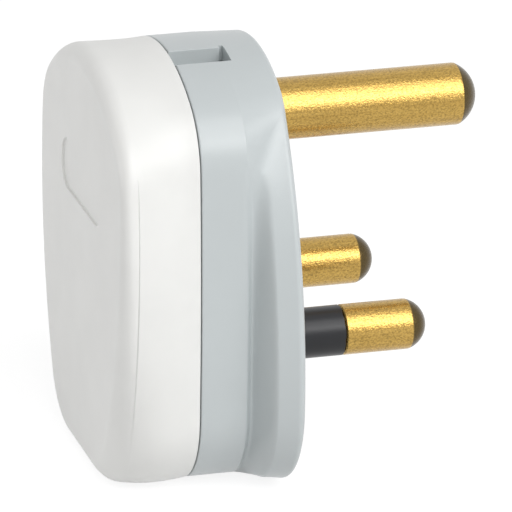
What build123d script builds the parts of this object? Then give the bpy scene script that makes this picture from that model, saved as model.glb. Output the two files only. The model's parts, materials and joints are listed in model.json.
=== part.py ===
from build123d import *
from math import cos, pi, sin, sqrt
from typing import NamedTuple
import os

# Three pin round pin mains plug, rewireable, made as separate pieces.
# Frame: millimetres, +Z up with the earth pin on top, pins along +Y. The origin lies on the pin face,
# midway between the line and neutral pins. Depth is counted from the pin face towards the back (-Y).

os.makedirs("parts", exist_ok=True)


class Section(NamedTuple):
    """Outline of the body at one depth: arched top, bowed sides, flat bottom, rounded corners."""

    half_width: float
    widest_z: float
    side_radius: float
    shoulder_drop: float
    top_corner: float
    bottom_corner: float


# Heights and depths of the body: the top stands above the earth pin, the bottom below the live pins
TOP_RISE = 10.5
BOTTOM_DROP = 20.5
BAND_DEPTH = 3.6
GRIP_BEND_DEPTH = 4.8
NECK_DEPTH = 6.6
SEAM_DEPTH = 13.5
COVER_DEPTH = 11.7
SEAM_GAP = 0.3

# How far the wall stands past the pin pockets, the flange and the back past the wall, and the step
# between the two edges of the flange band
WALL_ROOM = 1.3
FLANGE_LIP = 6.1
BAND_STEP = 1.5
BACK_FLARE = 2.3

# Rounds of the flange and the back, and the steps of the lofts
FLANGE_ROUND = 0.8
BACK_ROUND = 2.4
ROUND_STEPS = 6
NECK_STEPS = 9

# Walls of the two shells and the tongue that centres the cover
FACE_PLATE = 3.2
BASE_WALL = 2.2
COVER_WALL = 2.2
TONGUE_WALL = 1.0
TONGUE_HEIGHT = 1.5

# Clearances: round a piece in its hole, and past the tip of a screw
FIT = 0.1
TIP_ROOM = 0.5

# Pins: centres, diameters and reach beyond the pin face
PIN_SPACING = 25.4
EARTH_RISE = 28.6
LIVE_PIN_D = 7.06
EARTH_PIN_D = 8.71
LIVE_REACH = 21.0
EARTH_REACH = 31.5
DOME = 2.8
SLEEVE_REACH = 8.8
SLEEVE_WALL = 0.85
ROOT_STEP = 0.4
LIVE_TAIL_D = 8.6
EARTH_TAIL_D = 9.0
COLLAR_LIP = 0.9
COLLAR_T = 2.0
POCKET_WALL = 1.4

# Terminals in the pin tails: each screw reaches the middle of its wire hole
WIRE_HOLE_D = 4.6
TERMINAL_SCREW_D = 3.9
TERMINAL_SCREW_LENGTH = 3.6
TERMINAL_HEAD_D = 6.2
TERMINAL_HEAD_T = 2.4

# Plate over the pin collars and its two screws
RETAINER_T = 2.0
RETAINER_FIT = 0.3
RETAINER_PAST_PIN = 0.5
RETAINER_WEB = 2.2
RETAINER_CORNER = 1.5
RETAINER_SCREW_X = 5.5
RETAINER_SCREW_DROP = 11.0
RETAINER_BOSS_D = 5.6
RETAINER_SCREW_D = 2.4
RETAINER_SCREW_LENGTH = 5.2
RETAINER_HEAD_D = 4.8
RETAINER_HEAD_T = 1.8

# Cover screw through the middle of the base
COVER_SCREW_Z = 11.0
PILLAR_WALL = 1.0
COVER_SCREW_D = 4.0
COVER_SCREW_REACH = 6.3
COVER_HEAD_D = 7.4
COVER_HEAD_T = 2.4
COVER_HEAD_SINK = 0.4
COVER_INSERT_D = 6.2
COVER_INSERT_LENGTH = 6.0
WASHER_D = 7.0
WASHER_T = 0.8

# Cord inlet and cord grip
INLET_D = 10.0
GRIP_RISE = 7.7
GRIP_BOSS_D = 6.8
GRIP_BOSS_DROP = 1.5
GRIP_INSERT_D = 4.6
GRIP_INSERT_LENGTH = 5.0
GRIP_BAR_WIDTH = 6.0
GRIP_BAR_T = 2.6
GRIP_BAR_CORNER = 2.6
GRIP_RIDGE = 0.9
GRIP_RIDGE_PITCH = 2.4
GRIP_OPENING = 3.4
SADDLE_WIDTH = 9.6
SADDLE_ROOM = 0.4
GRIP_SCREW_D = 2.9
GRIP_SCREW_LENGTH = 7.6
GRIP_HEAD_D = 5.4
GRIP_HEAD_T = 2.2

# Screwdriver slots and edge breaks
SLOT_W = 1.0
SLOT_SINK = 1.0
EDGE = 0.3

# Slot in the top of the base, open at the seam, with a relief at its inner end
TOP_SLOT_X = 3.65
TOP_SLOT_W = 3.9
TOP_SLOT_END_DEPTH = 5.5
TOP_SLOT_SINK = 3.0
TOP_SLOT_PAD = 1.2
RELIEF = 0.6

# Bare label recess in the back, and the fins that keep the terminals apart
LABEL_W = 20.4
LABEL_H = 7.3
LABEL_Z = 20.4
LABEL_CORNER = 3.0
LABEL_SINK = 0.35
FIN_X = 6.4
FIN_T = 1.4
FIN_HEIGHT = 12.0
FIN_REACH = 7.0

# Sizes that follow from the ones above
TOP_Z = EARTH_RISE + TOP_RISE
BOTTOM_Z = -BOTTOM_DROP
BACK_DEPTH = SEAM_DEPTH + COVER_DEPTH
BASE_RIM_DEPTH = SEAM_DEPTH - SEAM_GAP / 2
COVER_RIM_DEPTH = SEAM_DEPTH + SEAM_GAP / 2
TONGUE_DEPTH = BASE_RIM_DEPTH + TONGUE_HEIGHT
COVER_FLOOR_DEPTH = BACK_DEPTH - COVER_WALL
LIVE_X = PIN_SPACING / 2
POCKET_EDGE = LIVE_X + LIVE_TAIL_D / 2 + COLLAR_LIP + FIT + POCKET_WALL
LIVE_NECK_D = LIVE_PIN_D - 2 * SLEEVE_WALL
LIVE_ROOT_D = LIVE_PIN_D + 2 * ROOT_STEP
EARTH_ROOT_D = EARTH_PIN_D + 2 * ROOT_STEP
COLLAR_DEPTH = FACE_PLATE + COLLAR_T
RETAINER_DEPTH = COLLAR_DEPTH + RETAINER_T
RETAINER_FOOT = LIVE_X + RETAINER_PAST_PIN
RETAINER_FOOT_HALF = LIVE_TAIL_D / 2 + RETAINER_FIT + RETAINER_WEB
RETAINER_NECK = EARTH_TAIL_D / 2 + RETAINER_FIT + RETAINER_WEB
RETAINER_NECK_Z = EARTH_RISE - RETAINER_NECK
RETAINER_TOP_Z = EARTH_RISE + RETAINER_PAST_PIN
RETAINER_SCREW_Z = EARTH_RISE - RETAINER_SCREW_DROP
WIRE_HOLE_DEPTH = RETAINER_DEPTH + WIRE_HOLE_D / 2
TAIL_END_DEPTH = WIRE_HOLE_DEPTH + TERMINAL_SCREW_LENGTH
PILLAR_D = WASHER_D + 2 * PILLAR_WALL
COVER_SEAT_DEPTH = COVER_HEAD_SINK + COVER_HEAD_T
COVER_SCREW_LENGTH = SEAM_DEPTH + COVER_SCREW_REACH - COVER_SEAT_DEPTH
GRIP_Z = BOTTOM_Z + GRIP_RISE
GRIP_SCREW_X = (SADDLE_WIDTH + GRIP_BOSS_D) / 2 + SADDLE_ROOM
GRIP_BAR_LENGTH = 2 * GRIP_SCREW_X + GRIP_BOSS_D
GRIP_BOSS_DEPTH = SEAM_DEPTH - GRIP_BOSS_DROP
GRIP_BAR_DEPTH = GRIP_BOSS_DEPTH + GRIP_BAR_T
SADDLE_DEPTH = GRIP_BOSS_DEPTH - GRIP_OPENING
TOP_SLOT_FLOOR_Z = TOP_Z - TOP_SLOT_SINK


# Body outlines from the pin face to the back
WALL = Section(
    half_width=POCKET_EDGE + WALL_ROOM,
    widest_z=-7.5,
    side_radius=400.0,
    shoulder_drop=7.0,
    top_corner=11.0,
    bottom_corner=12.0,
)
FLANGE = Section(
    half_width=WALL.half_width + FLANGE_LIP,
    widest_z=-5.0,
    side_radius=66.0,
    shoulder_drop=3.94,
    top_corner=8.0,
    bottom_corner=14.5,
)
RIDGE = Section(
    half_width=FLANGE.half_width - BAND_STEP,
    widest_z=-5.0,
    side_radius=72.0,
    shoulder_drop=3.94,
    top_corner=8.0,
    bottom_corner=14.0,
)
BACK = Section(
    half_width=WALL.half_width + BACK_FLARE,
    widest_z=18.5,
    side_radius=80.0,
    shoulder_drop=10.21,
    top_corner=10.5,
    bottom_corner=10.7,
)


class Pin(NamedTuple):
    """Place and sizes of one pin: its root lies in the face plate, its neck runs on to neck_end."""

    x: float
    z: float
    diameter: float
    reach: float
    root_d: float
    neck_d: float
    neck_end: float
    tail_d: float


LIVE_SIZES = (LIVE_PIN_D, LIVE_REACH, LIVE_ROOT_D, LIVE_NECK_D, SLEEVE_REACH, LIVE_TAIL_D)
EARTH_SIZES = (EARTH_PIN_D, EARTH_REACH, EARTH_ROOT_D, EARTH_ROOT_D, 0, EARTH_TAIL_D)
PINS = {
    "line": Pin(LIVE_X, 0, *LIVE_SIZES),
    "neutral": Pin(-LIVE_X, 0, *LIVE_SIZES),
    "earth": Pin(0, EARTH_RISE, *EARTH_SIZES),
}
TURNS = [pi / 2 * step / ROUND_STEPS for step in range(ROUND_STEPS + 1)]
SIDES = {"left": -1, "right": 1}
ON_PLANE = (Align.CENTER, Align.CENTER, Align.MIN)
BEHIND_PLANE = (Align.CENTER, Align.CENTER, Align.MAX)


def at_depth(depth, x=0.0, z=0.0):
    """Plane across the plug at a depth, facing the back, with its centre at (x, z)."""
    return Plane(origin=(x, -depth, z), x_dir=(1, 0, 0), z_dir=(0, -1, 0))


def outline(depth, section, inset=0.0):
    """Body outline at a depth, moved inwards by inset all round."""
    half_width = section.half_width - inset
    side_radius = section.side_radius - inset
    top_z = TOP_Z - inset
    bottom_z = BOTTOM_Z + inset
    side_x = half_width - side_radius
    # The arch runs over the top from shoulder to shoulder of the full outline
    drop = section.shoulder_drop
    reach = side_x + sqrt(section.side_radius**2 - (TOP_Z - drop - section.widest_z) ** 2)
    top_radius = (reach**2 + drop**2) / (2 * drop) - inset
    # The inset shoulder is the upper crossing of the side's circle and the top's circle
    rise = top_z - top_radius - section.widest_z
    span = sqrt(side_x**2 + rise**2)
    along = (side_radius**2 - top_radius**2 + span**2) / (2 * span)
    across = sqrt(side_radius**2 - along**2)
    shoulder_x = side_x - (across * rise + along * side_x) / span
    shoulder_z = section.widest_z + (along * rise - across * side_x) / span
    foot_x = side_x + sqrt(side_radius**2 - (bottom_z - section.widest_z) ** 2)
    shoulders = (-shoulder_x, shoulder_z), (shoulder_x, shoulder_z)
    feet = (-foot_x, bottom_z), (foot_x, bottom_z)
    with BuildSketch(at_depth(depth)) as shape:
        with BuildLine():
            ThreePointArc(shoulders[0], (0, top_z), shoulders[1])
            ThreePointArc(shoulders[1], (half_width, section.widest_z), feet[1])
            Line(feet[1], feet[0])
            ThreePointArc(feet[0], (-half_width, section.widest_z), shoulders[0])
        make_face()
        fillet(shape.vertices().group_by(Axis.Y)[-1], section.top_corner - inset)
        fillet(shape.vertices().group_by(Axis.Y)[0], section.bottom_corner - inset)
    return shape.sketch


def between(first, last, share):
    """Section that lies a share of the way from one section to another, in the bow of its sides too."""
    mix = Section(*(a + (b - a) * share for a, b in zip(first, last)))
    bow = (1 - share) / first.side_radius + share / last.side_radius
    return mix._replace(side_radius=1 / bow)


def slotted_screw(plane, head_d, head_t, shank_d, length):
    """Cheese head screw: its head stands on the plane and its shank runs behind it."""
    with BuildPart(plane) as screw:
        Cylinder(head_d / 2, head_t, align=ON_PLANE)
        Cylinder(shank_d / 2, length, align=BEHIND_PLANE)
        rims = screw.edges().filter_by(GeomType.CIRCLE).sort_by(Axis.Y)
        chamfer((rims[0], rims[-1]), EDGE)
        with Locations((0, 0, head_t)):
            Box(head_d, SLOT_W, 2 * SLOT_SINK, mode=Mode.SUBTRACT)
    return screw.part


def drill(screw_d, length):
    """Hole for a screw in the part being built, from the current location towards the front."""
    Cylinder(screw_d / 2 + FIT, length, align=BEHIND_PLANE, mode=Mode.SUBTRACT)


def tube(plane, outer_d, inner_d, length):
    """Plain tube that stands on the plane."""
    with BuildPart(plane) as ring:
        Cylinder(outer_d / 2, length, align=ON_PLANE)
        Cylinder(inner_d / 2, length, align=ON_PLANE, mode=Mode.SUBTRACT)
    return ring.part


def brass_pin(pin):
    """Turned pin: domed end, neck under any sleeve, square collar and a drilled terminal tail."""
    radius = pin.diameter / 2
    collar = pin.tail_d + 2 * COLLAR_LIP
    ball = (radius**2 + DOME**2) / (2 * DOME)
    crown = (radius / 2, pin.reach - ball + sqrt(ball**2 - radius**2 / 4))
    with BuildPart() as turned:
        with BuildSketch(Plane(origin=(pin.x, 0, pin.z))):
            with BuildLine():
                Polyline(
                    (0, pin.reach),
                    (0, -TAIL_END_DEPTH),
                    (pin.tail_d / 2, -TAIL_END_DEPTH),
                    (pin.tail_d / 2, -FACE_PLATE),
                    (pin.neck_d / 2, -FACE_PLATE),
                    (pin.neck_d / 2, pin.neck_end),
                    (radius, pin.neck_end),
                    (radius, pin.reach - DOME),
                )
                ThreePointArc((radius, pin.reach - DOME), crown, (0, pin.reach))
            make_face()
        revolve(axis=Axis((pin.x, 0, pin.z), (0, 1, 0)))
        with Locations(at_depth(FACE_PLATE, pin.x, pin.z)):
            Box(collar, collar, COLLAR_T, align=ON_PLANE)
        with Locations(Plane(origin=(pin.x, -WIRE_HOLE_DEPTH, pin.z))):
            Cylinder(WIRE_HOLE_D / 2, 2 * pin.tail_d, mode=Mode.SUBTRACT)
        with Locations(at_depth(WIRE_HOLE_DEPTH, pin.x, pin.z)):
            Cylinder(
                TERMINAL_SCREW_D / 2 + FIT, TAIL_END_DEPTH, align=ON_PLANE, mode=Mode.SUBTRACT
            )
    return turned.part


def sleeve(pin):
    """Insulating sleeve, flush with its pin, with a wider root in the face plate."""
    with BuildPart(at_depth(FACE_PLATE, pin.x, pin.z)) as shell:
        Cylinder(pin.root_d / 2, FACE_PLATE, align=BEHIND_PLANE)
        Cylinder(pin.diameter / 2, FACE_PLATE + pin.neck_end, align=BEHIND_PLANE)
        Cylinder(
            pin.neck_d / 2, FACE_PLATE + pin.neck_end, align=BEHIND_PLANE, mode=Mode.SUBTRACT
        )
    return shell.part


def write(part, name):
    """Label a finished piece and write it to its own file."""
    part.label = name
    export_step(part, f"parts/{name}.step")


# Base: flange band, concave finger grip, straight wall, hollow behind the face plate
with BuildPart() as base:
    loft([outline(0, FLANGE), outline(BAND_DEPTH, RIDGE)], ruled=True)
    fillet(base.faces().sort_by(Axis.Y)[-1].edges(), FLANGE_ROUND)
    # The grip leaves the wall level, bends and rises steeply to the ridge
    neck = []
    for step in range(NECK_STEPS + 1):
        share = step / NECK_STEPS
        near = NECK_DEPTH + (GRIP_BEND_DEPTH - NECK_DEPTH) * share
        far = GRIP_BEND_DEPTH + (BAND_DEPTH - GRIP_BEND_DEPTH) * share
        neck.append(outline(near + (far - near) * share, between(WALL, RIDGE, share**2)))
    loft(neck, ruled=True)
    extrude(outline(NECK_DEPTH, WALL), amount=BASE_RIM_DEPTH - NECK_DEPTH)
    # Tongue that enters the cover, then the hollow
    extrude(outline(BASE_RIM_DEPTH, WALL, BASE_WALL - TONGUE_WALL), amount=TONGUE_HEIGHT)
    hollow = outline(FACE_PLATE, WALL, BASE_WALL)
    extrude(hollow, amount=TONGUE_DEPTH - FACE_PLATE, mode=Mode.SUBTRACT)
    # Floor under the slot in the top
    with Locations(at_depth(FACE_PLATE, TOP_SLOT_X, TOP_SLOT_FLOOR_Z - TOP_SLOT_PAD)):
        Box(
            TOP_SLOT_W + 2 * TOP_SLOT_PAD,
            2 * TOP_SLOT_PAD,
            BASE_RIM_DEPTH - FACE_PLATE,
            align=(Align.CENTER, Align.MIN, Align.MIN),
        )
    with Locations(at_depth(TOP_SLOT_END_DEPTH, TOP_SLOT_X, TOP_SLOT_FLOOR_Z)):
        Box(
            TOP_SLOT_W,
            TOP_Z,
            BASE_RIM_DEPTH - TOP_SLOT_END_DEPTH,
            align=(Align.CENTER, Align.MIN, Align.MIN),
            mode=Mode.SUBTRACT,
        )
    with Locations(
        at_depth(TOP_SLOT_END_DEPTH, TOP_SLOT_X - TOP_SLOT_W / 2 - RELIEF / 2, TOP_SLOT_FLOOR_Z)
    ):
        Box(
            RELIEF, TOP_Z, RELIEF, align=(Align.CENTER, Align.MIN, Align.MIN), mode=Mode.SUBTRACT
        )
    # Stop under the tongue, behind the slot
    with Locations(at_depth(BASE_RIM_DEPTH, TOP_SLOT_X, TOP_SLOT_FLOOR_Z - TOP_SLOT_PAD)):
        Box(
            TOP_SLOT_W + TOP_SLOT_PAD,
            TOP_SLOT_PAD + TOP_SLOT_SINK - BASE_WALL + FIT,
            TONGUE_HEIGHT,
            align=(Align.CENTER, Align.MIN, Align.MIN),
        )
    # Square pockets for the pin collars
    for pin in PINS.values():
        pocket = pin.tail_d + 2 * COLLAR_LIP + 2 * FIT
        with Locations(at_depth(FACE_PLATE, pin.x, pin.z)):
            Box(pocket + 2 * POCKET_WALL, pocket + 2 * POCKET_WALL, COLLAR_T, align=ON_PLANE)
            Box(pocket, pocket, COLLAR_T, align=ON_PLANE, mode=Mode.SUBTRACT)
        with Locations(at_depth(0, pin.x, pin.z)):
            Cylinder(pin.root_d / 2 + FIT, FACE_PLATE, align=ON_PLANE, mode=Mode.SUBTRACT)
    # Bosses for the retainer and the cord grip, and the saddle under the cord
    for side in SIDES.values():
        with Locations(at_depth(FACE_PLATE, side * RETAINER_SCREW_X, RETAINER_SCREW_Z)):
            Cylinder(RETAINER_BOSS_D / 2, COLLAR_T, align=ON_PLANE)
        with Locations(at_depth(RETAINER_DEPTH, side * RETAINER_SCREW_X, RETAINER_SCREW_Z)):
            drill(RETAINER_SCREW_D, RETAINER_SCREW_LENGTH + TIP_ROOM)
        with Locations(at_depth(FACE_PLATE, side * GRIP_SCREW_X, GRIP_Z)):
            Cylinder(GRIP_BOSS_D / 2, GRIP_BOSS_DEPTH - FACE_PLATE, align=ON_PLANE)
        with Locations(at_depth(GRIP_BOSS_DEPTH, side * GRIP_SCREW_X, GRIP_Z)):
            Cylinder(
                GRIP_INSERT_D / 2, GRIP_INSERT_LENGTH, align=BEHIND_PLANE, mode=Mode.SUBTRACT
            )
        with Locations(at_depth(GRIP_BAR_DEPTH, side * GRIP_SCREW_X, GRIP_Z)):
            drill(GRIP_SCREW_D, GRIP_SCREW_LENGTH + TIP_ROOM)
    with Locations(at_depth(FACE_PLATE, 0, GRIP_Z)):
        Box(SADDLE_WIDTH, GRIP_BAR_WIDTH, SADDLE_DEPTH - FACE_PLATE, align=ON_PLANE)
        Box(SADDLE_WIDTH, GRIP_RIDGE, SADDLE_DEPTH + GRIP_RIDGE - FACE_PLATE, align=ON_PLANE)
    # Pillar, seat and bore for the cover screw
    with Locations(at_depth(FACE_PLATE, 0, COVER_SCREW_Z)):
        Cylinder(PILLAR_D / 2, SEAM_DEPTH - FACE_PLATE, align=ON_PLANE)
    with Locations(at_depth(0, 0, COVER_SCREW_Z)):
        Cylinder(
            COVER_HEAD_D / 2 + FIT, COVER_SEAT_DEPTH, align=ON_PLANE, mode=Mode.SUBTRACT
        )
        Cylinder(COVER_SCREW_D / 2 + FIT, SEAM_DEPTH, align=ON_PLANE, mode=Mode.SUBTRACT)
    with Locations(at_depth(SEAM_DEPTH, 0, COVER_SCREW_Z)):
        Cylinder(WASHER_D / 2 + FIT, WASHER_T, align=BEHIND_PLANE, mode=Mode.SUBTRACT)
    # Cord inlet, half in the base and half in the cover
    with Locations((0, -SEAM_DEPTH, BOTTOM_Z)):
        Cylinder(INLET_D / 2, 4 * BASE_WALL, mode=Mode.SUBTRACT)
write(base.part, "base")

# Cover: flares from the seam to the rounded back, hollow, with a boss for its screw
with BuildPart() as cover:
    shell = [outline(COVER_RIM_DEPTH, WALL)]
    for turn in TURNS:
        depth = BACK_DEPTH - BACK_ROUND * (1 - sin(turn))
        flare = between(WALL, BACK, (depth - COVER_RIM_DEPTH) / (BACK_DEPTH - COVER_RIM_DEPTH))
        shell.append(outline(depth, flare, BACK_ROUND * (1 - cos(turn))))
    loft(shell, ruled=True)
    hollow = outline(COVER_RIM_DEPTH, WALL, COVER_WALL)
    extrude(hollow, amount=COVER_FLOOR_DEPTH - COVER_RIM_DEPTH, mode=Mode.SUBTRACT)
    rabbet = outline(COVER_RIM_DEPTH, WALL, BASE_WALL - TONGUE_WALL - FIT)
    extrude(rabbet, amount=TONGUE_DEPTH - COVER_RIM_DEPTH, mode=Mode.SUBTRACT)
    with Locations(at_depth(SEAM_DEPTH, 0, COVER_SCREW_Z)):
        Cylinder(PILLAR_D / 2, COVER_FLOOR_DEPTH - SEAM_DEPTH, align=ON_PLANE)
        Cylinder(COVER_INSERT_D / 2, COVER_INSERT_LENGTH, align=ON_PLANE, mode=Mode.SUBTRACT)
    with Locations(at_depth(SEAM_DEPTH + COVER_SCREW_REACH + TIP_ROOM, 0, COVER_SCREW_Z)):
        drill(COVER_SCREW_D, COVER_SCREW_REACH + TIP_ROOM)
    for side in SIDES.values():
        with Locations(at_depth(COVER_FLOOR_DEPTH, side * FIN_X, 0)):
            Box(FIN_T, FIN_HEIGHT, FIN_REACH, align=BEHIND_PLANE)
    with BuildSketch(at_depth(BACK_DEPTH, 0, LABEL_Z)):
        RectangleRounded(LABEL_W, LABEL_H, LABEL_CORNER)
    extrude(amount=-LABEL_SINK, mode=Mode.SUBTRACT)
    with Locations((0, -SEAM_DEPTH, BOTTOM_Z)):
        Cylinder(INLET_D / 2, 4 * BASE_WALL, mode=Mode.SUBTRACT)
write(cover.part, "cover")

# Pins, their sleeves and their terminal screws
for name, pin in PINS.items():
    write(brass_pin(pin), f"{name}_pin")
    if pin.neck_end > 0:
        write(sleeve(pin), f"{name}_sleeve")
    terminal_screw = slotted_screw(
        at_depth(TAIL_END_DEPTH, pin.x, pin.z),
        TERMINAL_HEAD_D,
        TERMINAL_HEAD_T,
        TERMINAL_SCREW_D,
        TERMINAL_SCREW_LENGTH,
    )
    write(terminal_screw, f"{name}_terminal_screw")

# Plate that keeps the pin collars in their pockets
with BuildPart() as retainer:
    with BuildSketch(at_depth(COLLAR_DEPTH)) as plate:
        with BuildLine():
            Polyline(
                (-RETAINER_FOOT, -RETAINER_FOOT_HALF),
                (RETAINER_FOOT, -RETAINER_FOOT_HALF),
                (RETAINER_FOOT, RETAINER_FOOT_HALF),
                (RETAINER_NECK, RETAINER_NECK_Z),
                (RETAINER_NECK, RETAINER_TOP_Z),
                (-RETAINER_NECK, RETAINER_TOP_Z),
                (-RETAINER_NECK, RETAINER_NECK_Z),
                (-RETAINER_FOOT, RETAINER_FOOT_HALF),
                close=True,
            )
        make_face()
        fillet(plate.vertices(), RETAINER_CORNER)
        for pin in PINS.values():
            with Locations((pin.x, pin.z)):
                Circle(pin.tail_d / 2 + RETAINER_FIT, mode=Mode.SUBTRACT)
        with Locations((0, COVER_SCREW_Z)):
            Circle(PILLAR_D / 2 + RETAINER_FIT, mode=Mode.SUBTRACT)
        for side in SIDES.values():
            with Locations((side * RETAINER_SCREW_X, RETAINER_SCREW_Z)):
                Circle(RETAINER_SCREW_D / 2 + FIT, mode=Mode.SUBTRACT)
    extrude(amount=RETAINER_T)
write(retainer.part, "pin_retainer")

# Cord grip bar with two ridges that bite on the cord
with BuildPart() as grip_bar:
    with BuildSketch(at_depth(GRIP_BOSS_DEPTH, 0, GRIP_Z)):
        RectangleRounded(GRIP_BAR_LENGTH, GRIP_BAR_WIDTH, GRIP_BAR_CORNER)
        for side in SIDES.values():
            with Locations((side * GRIP_SCREW_X, 0)):
                Circle(GRIP_SCREW_D / 2 + FIT, mode=Mode.SUBTRACT)
    extrude(amount=GRIP_BAR_T)
    for side in SIDES.values():
        with Locations(at_depth(GRIP_BOSS_DEPTH, 0, GRIP_Z + side * GRIP_RIDGE_PITCH / 2)):
            Box(SADDLE_WIDTH, GRIP_RIDGE, GRIP_RIDGE, align=BEHIND_PLANE)
write(grip_bar.part, "cord_grip_bar")

# Screws and inserts on the two sides
for side_name, side in SIDES.items():
    retainer_screw = slotted_screw(
        at_depth(RETAINER_DEPTH, side * RETAINER_SCREW_X, RETAINER_SCREW_Z),
        RETAINER_HEAD_D,
        RETAINER_HEAD_T,
        RETAINER_SCREW_D,
        RETAINER_SCREW_LENGTH,
    )
    write(retainer_screw, f"retainer_screw_{side_name}")
    grip_screw = slotted_screw(
        at_depth(GRIP_BAR_DEPTH, side * GRIP_SCREW_X, GRIP_Z),
        GRIP_HEAD_D,
        GRIP_HEAD_T,
        GRIP_SCREW_D,
        GRIP_SCREW_LENGTH,
    )
    write(grip_screw, f"cord_grip_screw_{side_name}")
    grip_insert = tube(
        at_depth(GRIP_BOSS_DEPTH - GRIP_INSERT_LENGTH, side * GRIP_SCREW_X, GRIP_Z),
        GRIP_INSERT_D,
        GRIP_SCREW_D + 2 * FIT,
        GRIP_INSERT_LENGTH,
    )
    write(grip_insert, f"cord_grip_insert_{side_name}")

# Cover screw, the washer that keeps it captive, and the insert it draws on
screw_seat = Plane(origin=(0, -COVER_SEAT_DEPTH, COVER_SCREW_Z), x_dir=(1, 0, 0), z_dir=(0, 1, 0))
cover_screw = slotted_screw(
    screw_seat, COVER_HEAD_D, COVER_HEAD_T, COVER_SCREW_D, COVER_SCREW_LENGTH
)
write(cover_screw, "cover_screw")
washer_plane = at_depth(SEAM_DEPTH - WASHER_T, 0, COVER_SCREW_Z)
write(tube(washer_plane, WASHER_D, COVER_SCREW_D + FIT, WASHER_T), "cover_screw_washer")
insert_plane = at_depth(SEAM_DEPTH, 0, COVER_SCREW_Z)
cover_insert = tube(insert_plane, COVER_INSERT_D, COVER_SCREW_D + FIT, COVER_INSERT_LENGTH)
write(cover_insert, "cover_insert")
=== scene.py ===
import json
import math

import bmesh
import bpy
import numpy as np
from bpy.props import FloatProperty, FloatVectorProperty, IntProperty, PointerProperty
from mathutils import Matrix, Vector


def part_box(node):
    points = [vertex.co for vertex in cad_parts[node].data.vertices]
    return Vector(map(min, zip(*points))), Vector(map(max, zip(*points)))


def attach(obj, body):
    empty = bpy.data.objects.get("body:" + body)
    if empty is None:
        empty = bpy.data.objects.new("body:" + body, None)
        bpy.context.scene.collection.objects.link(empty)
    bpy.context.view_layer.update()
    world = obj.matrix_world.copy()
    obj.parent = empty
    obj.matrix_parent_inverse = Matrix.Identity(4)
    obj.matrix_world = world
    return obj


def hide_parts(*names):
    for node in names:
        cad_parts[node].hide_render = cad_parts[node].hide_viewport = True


bl_info = {
    "name": "Round pin mains plug",
    "version": (1, 0, 0),
    "blender": (4, 5, 0),
    "location": "View3D > Sidebar > Plug",
    "description": "Dresses a three pin round pin plug: moulded shells, brass pins, sleeves, screws",
    "category": "Object",
}

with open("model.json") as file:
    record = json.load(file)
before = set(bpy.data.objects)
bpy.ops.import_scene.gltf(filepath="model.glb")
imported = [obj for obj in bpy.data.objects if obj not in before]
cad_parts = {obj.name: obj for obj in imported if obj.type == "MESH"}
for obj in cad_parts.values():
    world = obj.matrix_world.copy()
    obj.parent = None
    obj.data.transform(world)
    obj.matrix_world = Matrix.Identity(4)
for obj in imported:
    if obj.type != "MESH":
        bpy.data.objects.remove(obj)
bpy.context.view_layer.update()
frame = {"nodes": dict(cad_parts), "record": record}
COVER_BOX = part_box("cover")
BASE_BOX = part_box("base")
EARTH_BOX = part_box("earth_pin")
LINE_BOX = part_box("line_pin")
SLEEVE_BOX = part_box("line_sleeve")
SCREW_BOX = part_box("cover_screw")

# Steps round turned pieces, holes, bosses and drilled holes, and along small rounds
LATHE_STEPS, HOLE_STEPS, BOSS_STEPS, DRILL_STEPS = 96, 64, 48, 40
CORNER_STEPS, ROUND_STEPS = 12, 6
# Steps along half of a body outline
ARCH_STEPS, SHOULDER_STEPS, SIDE_STEPS, FOOT_STEPS, FLAT_STEPS = 28, 16, 32, 20, 7
SHARP_EDGE = math.radians(32)

# Play between pieces, overlap of joined or cut solids, chamfers of turned ends and shoulders
FIT = 0.0001
OVERLAP = 0.0001
CHAMFER = 0.0003
SMALL_CHAMFER = 0.0002

COVER_SIDE_ROWS, COVER_BACK_ROWS = 14, 25
# Crease in the cover's side: where it fades out, and the share of the edge in which it starts
CREASE_TOP, CREASE_TOP_FADE = 0.031, 0.006
CREASE_FOOT, CREASE_FOOT_FADE = -0.0135, 0.005
CREASE_START = 0.04
# Label recess, from its edge down: growth, share of the sink
LABEL_WALL = (
    (0.00013, 0), (0.00005, 0.06), (0, 0.22), (-0.00002, 0.72), (-0.00006, 0.93), (-0.00015, 1)
)

# Rows of the finger grip
EDGE_ROWS, BAND_ROWS, SCOOP_ROWS, LIP_ROWS, WALL_ROWS = 12, 24, 48, 9, 14
# How far the outline faces sideways where the scoop starts, and over what range it grows
SIDE_START, SIDE_RANGE = 0.2, 0.5
# Share of the way to the lip that the ridge runs back at its top end
RIDGE_RUN = 0.9
# Ridge: rounding where it leaves the plain line, its end above the grip's top, where it softens
LIFT_SOFT, LIFT_OVERRUN, LIFT_FADE = 0.0003, 0.002, 0.007
SOFT_START, SOFT_RANGE = 0.008, 0.014
# Wall behind the lip that is softened with the grip, and where the plain wall goes on
SOFT_WALL, PLAIN_WALL, PLAIN_ROWS = 0.0015, 0.002, 5

# Slot in the top, from its floor up: growth, height above the arch
SLOT_WALL = ((0, None), (0, -0.00015), (0.00004, -0.00004), (0.00016, 0.00004), (0.00016, 0.002))
SLOT_STEPS = 9
# Floor of the slot and the stop behind it: how much wider than the slot, place, size
FLOOR_WIDER, FLOOR_SINK, FLOOR_THICK = 0.0024, 0.0006, 0.0011
STOP_WIDER, STOP_BEHIND, STOP_SINK = 0.0012, 0.0008, 0.00015
STOP_DEPTH, STOP_HEIGHT = 0.0014, 0.0021
# Cord inlet: round of its lip, and how far the cutter reaches in, out and past the lip
INLET_LIP, INLET_IN, INLET_OUT, INLET_FLARE = 0.0004, 0.004, 0.002, 0.0005
# Mouth of a hole in the pin face: growth, depth
HOLE_MOUTH = ((0.0002, 0), (0.00005, 0.00006), (0, 0.0002))

# Bosses of the cover screw: radius, bores for and behind the insert, pocket of the washer
BOSS_RADIUS = 0.0045
INSERT_RADIUS, INSERT_DEPTH, BOSS_BORE = 0.0031, 0.006, 0.0021
WASHER_RADIUS, WASHER_DEPTH = 0.0036, 0.0008
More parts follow.
